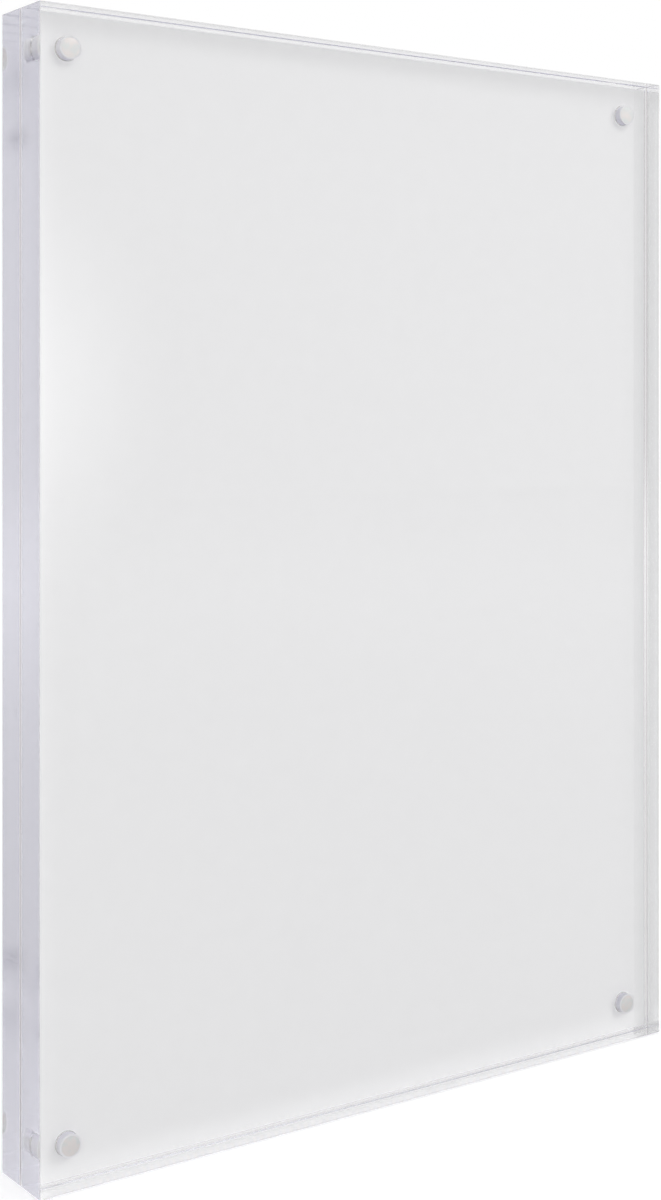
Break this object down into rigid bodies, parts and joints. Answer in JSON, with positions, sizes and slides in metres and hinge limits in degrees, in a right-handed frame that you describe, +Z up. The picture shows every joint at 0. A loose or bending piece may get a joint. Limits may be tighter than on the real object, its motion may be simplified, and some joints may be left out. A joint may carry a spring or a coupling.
{
  "type": "magnetic acrylic sign holder",
  "caption": "Free-standing clear block frame: two thick acrylic blocks, pulled together by disc magnets at the corners, hold a loose sheet between them.",
  "frame": {"origin": "middle of the base, on the surface that the two blocks stand on", "axes": "+Z up, +X to the right seen from the front, front block and its front face towards -Y"},
  "size_m": [0.212, 0.0224, 0.299],
  "materials": {
    "acrylic": "polished",
    "sheet": "matte",
    "nickel": "polished",
    "adhesive": "gloss"
  },
  "bodies": {
    "back": {"back_panel": "acrylic", "back_magnet_top_left": "nickel", "back_magnet_top_right": "nickel", "back_magnet_bottom_left": "nickel", "back_magnet_bottom_right": "nickel", "back_adhesive_top_left": "adhesive", "back_adhesive_top_right": "adhesive", "back_adhesive_bottom_left": "adhesive", "back_adhesive_bottom_right": "adhesive"},
    "front": {"front_panel": "acrylic", "front_magnet_top_left": "nickel", "front_magnet_top_right": "nickel", "front_magnet_bottom_left": "nickel", "front_magnet_bottom_right": "nickel", "front_adhesive_top_left": "adhesive", "front_adhesive_top_right": "adhesive", "front_adhesive_bottom_left": "adhesive", "front_adhesive_bottom_right": "adhesive"},
    "insert": {"insert_sheet": "sheet"}
  },
  "joints": [
    {"name": "front_pull", "type": "slide", "parent": "back", "child": "front", "axis": [0, -1, 0], "range_m": [0, 0.05], "stiffness_N_per_m": 40, "springref_m": -0.25},
    {"name": "insert_lift", "type": "slide", "parent": "back", "child": "insert", "axis": [0, 0, 1], "range_m": [0, 0.3]}
  ]
}
